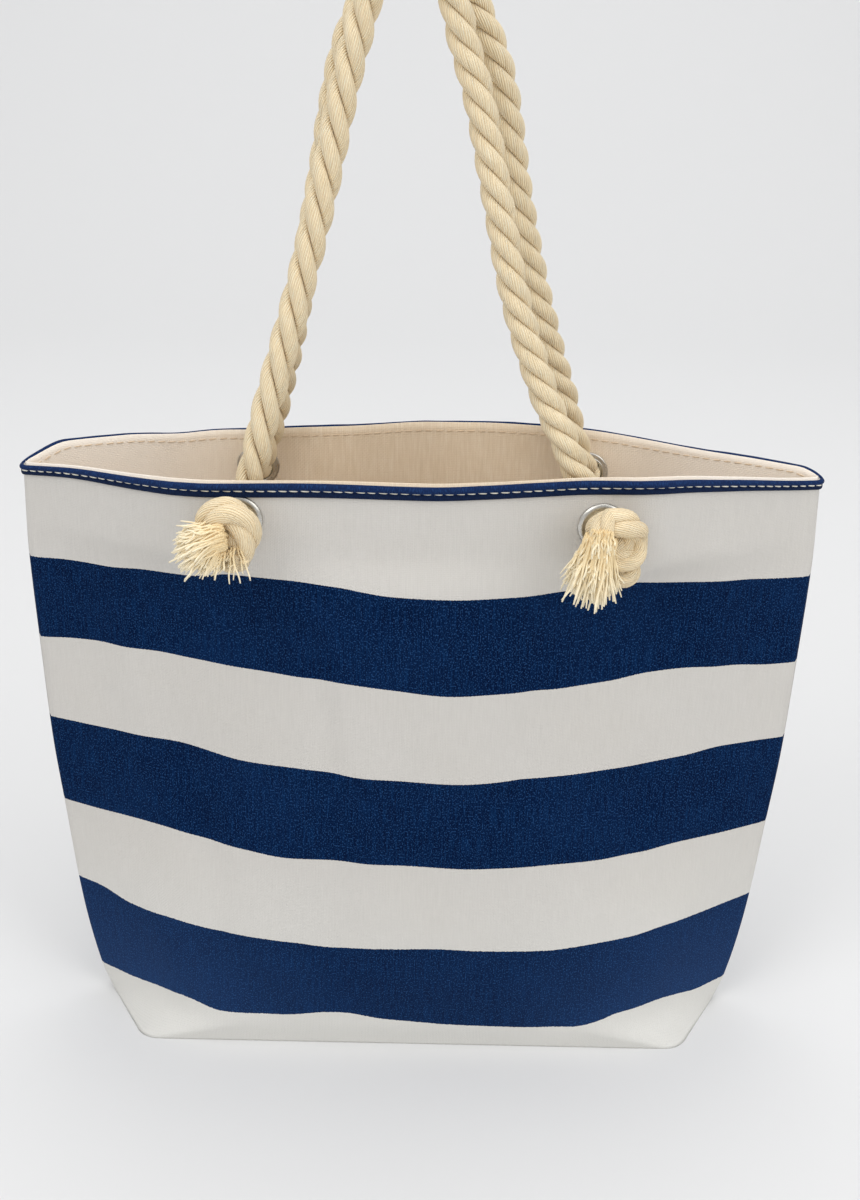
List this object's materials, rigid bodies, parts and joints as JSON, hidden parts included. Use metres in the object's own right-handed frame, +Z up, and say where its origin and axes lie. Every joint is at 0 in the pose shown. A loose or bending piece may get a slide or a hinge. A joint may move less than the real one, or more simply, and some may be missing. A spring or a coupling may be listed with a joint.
{
  "type": "beach tote bag",
  "caption": "Soft striped canvas beach tote with cloth lining, boxed base corners, metal eyelets and twisted rope handles that fold outward over the rim.",
  "frame": {"origin": "middle of the flat base, on the surface the bag stands on", "axes": "+Z up through the mouth, +X along the long side (left to right seen from the front), -Y towards the front panel"},
  "size_m": [0.4502, 0.1806, 0.634],
  "materials": {
    "striped_canvas": "woven off-white cotton canvas with broad navy cross stripes",
    "lining_cloth": "plain woven cream cotton",
    "navy_band": "turned navy cotton band with light topstitch",
    "eyelet_metal": "polished nickel plate",
    "cotton_rope": "three-strand twisted cotton rope"
  },
  "bodies": {
    "bag": {"outer_front": "striped_canvas", "outer_back": "striped_canvas", "lining_front": "lining_cloth", "lining_back": "lining_cloth", "rim_band_front": "navy_band", "rim_band_back": "navy_band", "eyelet_front_left": "eyelet_metal", "eyelet_front_right": "eyelet_metal", "eyelet_back_left": "eyelet_metal", "eyelet_back_right": "eyelet_metal", "washer_front_left": "eyelet_metal", "washer_front_right": "eyelet_metal", "washer_back_left": "eyelet_metal", "washer_back_right": "eyelet_metal", "rope_end_front_left": "cotton_rope", "rope_end_front_right": "cotton_rope", "rope_end_back_left": "cotton_rope", "rope_end_back_right": "cotton_rope", "knot_front_left": "cotton_rope", "knot_front_right": "cotton_rope", "knot_back_left": "cotton_rope", "knot_back_right": "cotton_rope", "frayed_end_front_left": "cotton_rope", "frayed_end_front_right": "cotton_rope", "frayed_end_back_left": "cotton_rope", "frayed_end_back_right": "cotton_rope"},
    "handle_front": {"rope_loop_front": "cotton_rope"},
    "handle_back": {"rope_loop_back": "cotton_rope"}
  },
  "joints": [
    {"name": "front_handle_fold", "type": "hinge", "parent": "bag", "child": "handle_front", "pos_m": [0, -0.036, 0.398], "axis": [1, 0, 0], "range_deg": [0, 120]},
    {"name": "back_handle_fold", "type": "hinge", "parent": "bag", "child": "handle_back", "pos_m": [0, 0.036, 0.398], "axis": [-1, 0, 0], "range_deg": [0, 120]}
  ]
}
